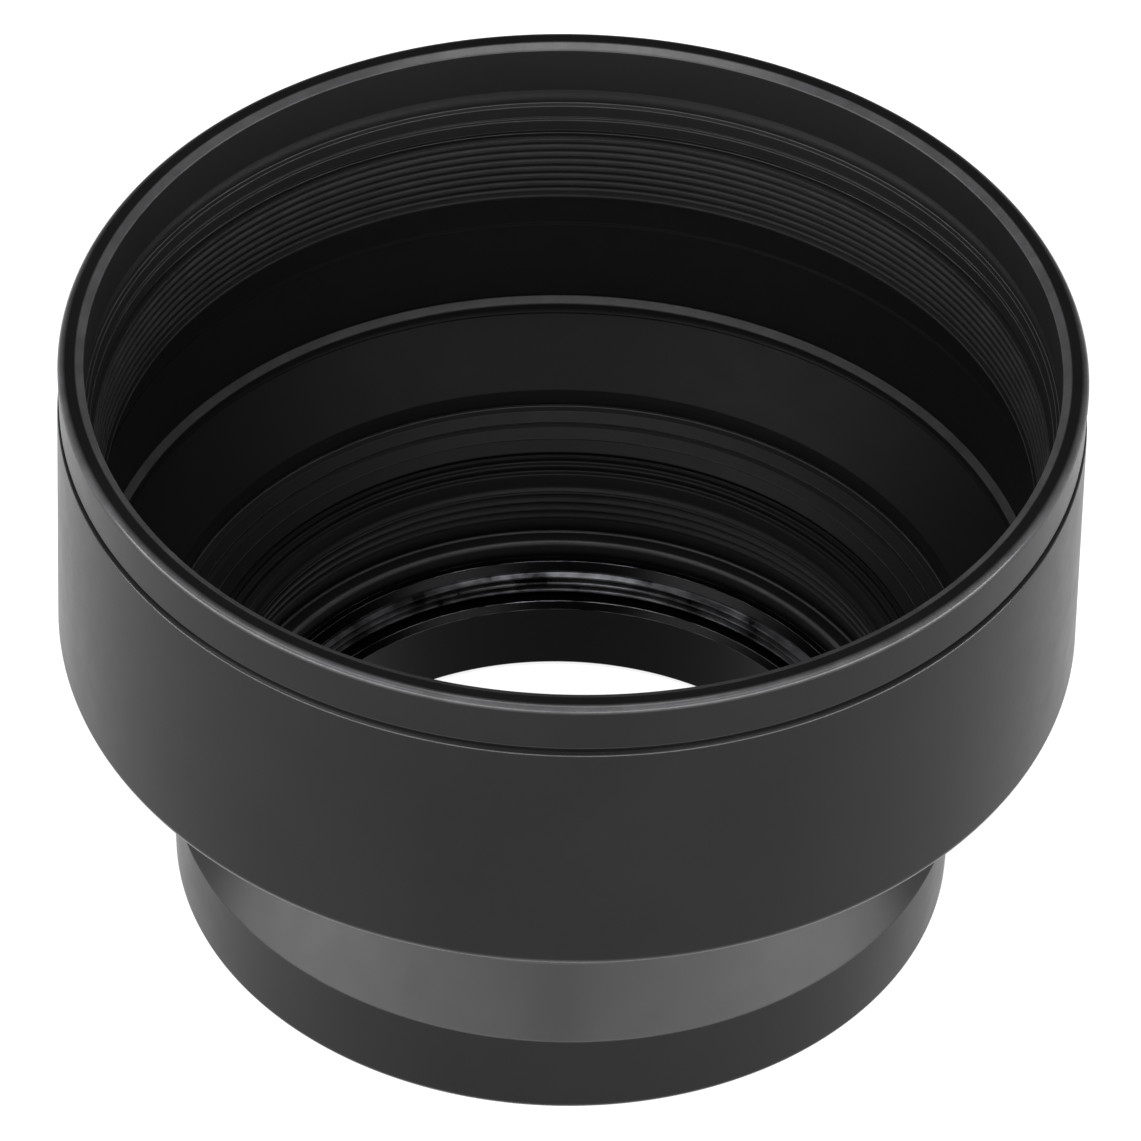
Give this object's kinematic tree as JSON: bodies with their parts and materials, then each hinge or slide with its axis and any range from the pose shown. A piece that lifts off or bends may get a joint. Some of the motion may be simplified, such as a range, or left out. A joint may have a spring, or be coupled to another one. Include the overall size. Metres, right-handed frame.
{
  "type": "lens hood",
  "caption": "Collapsible black rubber lens hood on a two-piece aluminium screw ring. Its webs fold inside out, so it pushes back to a middle or a short position.",
  "frame": {"origin": "On the optical axis, at the rear end of the male thread.", "axes": "+Z is the optical axis, from the lens towards the subject. X and Y are equal, as every piece is turned about Z."},
  "size_m": [0.084, 0.084, 0.0555],
  "materials": {
    "moulded_rubber": "Matt black moulded rubber with a fine texture, smooth outside and ribbed inside.",
    "black_anodised_aluminium": "Black anodised turned aluminium, satin, with brighter machined edges."
  },
  "bodies": {
    "base": {"mount_ring": "black_anodised_aluminium", "filter_ring": "black_anodised_aluminium", "base_cuff": "moulded_rubber", "lower_fold_web": "moulded_rubber"},
    "middle_stage": {"fold_collar": "moulded_rubber", "upper_fold_web": "moulded_rubber"},
    "front_stage": {"front_barrel": "moulded_rubber", "rim_band": "moulded_rubber"}
  },
  "joints": [
    {"name": "middle_stage_slide", "type": "slide", "parent": "base", "child": "middle_stage", "axis": [0, 0, 1], "range_m": [-0.0054, 0], "deforming": ["lower_fold_web"]},
    {"name": "front_stage_slide", "type": "slide", "parent": "middle_stage", "child": "front_stage", "axis": [0, 0, 1], "range_m": [-0.012, 0], "deforming": ["upper_fold_web"]}
  ]
}
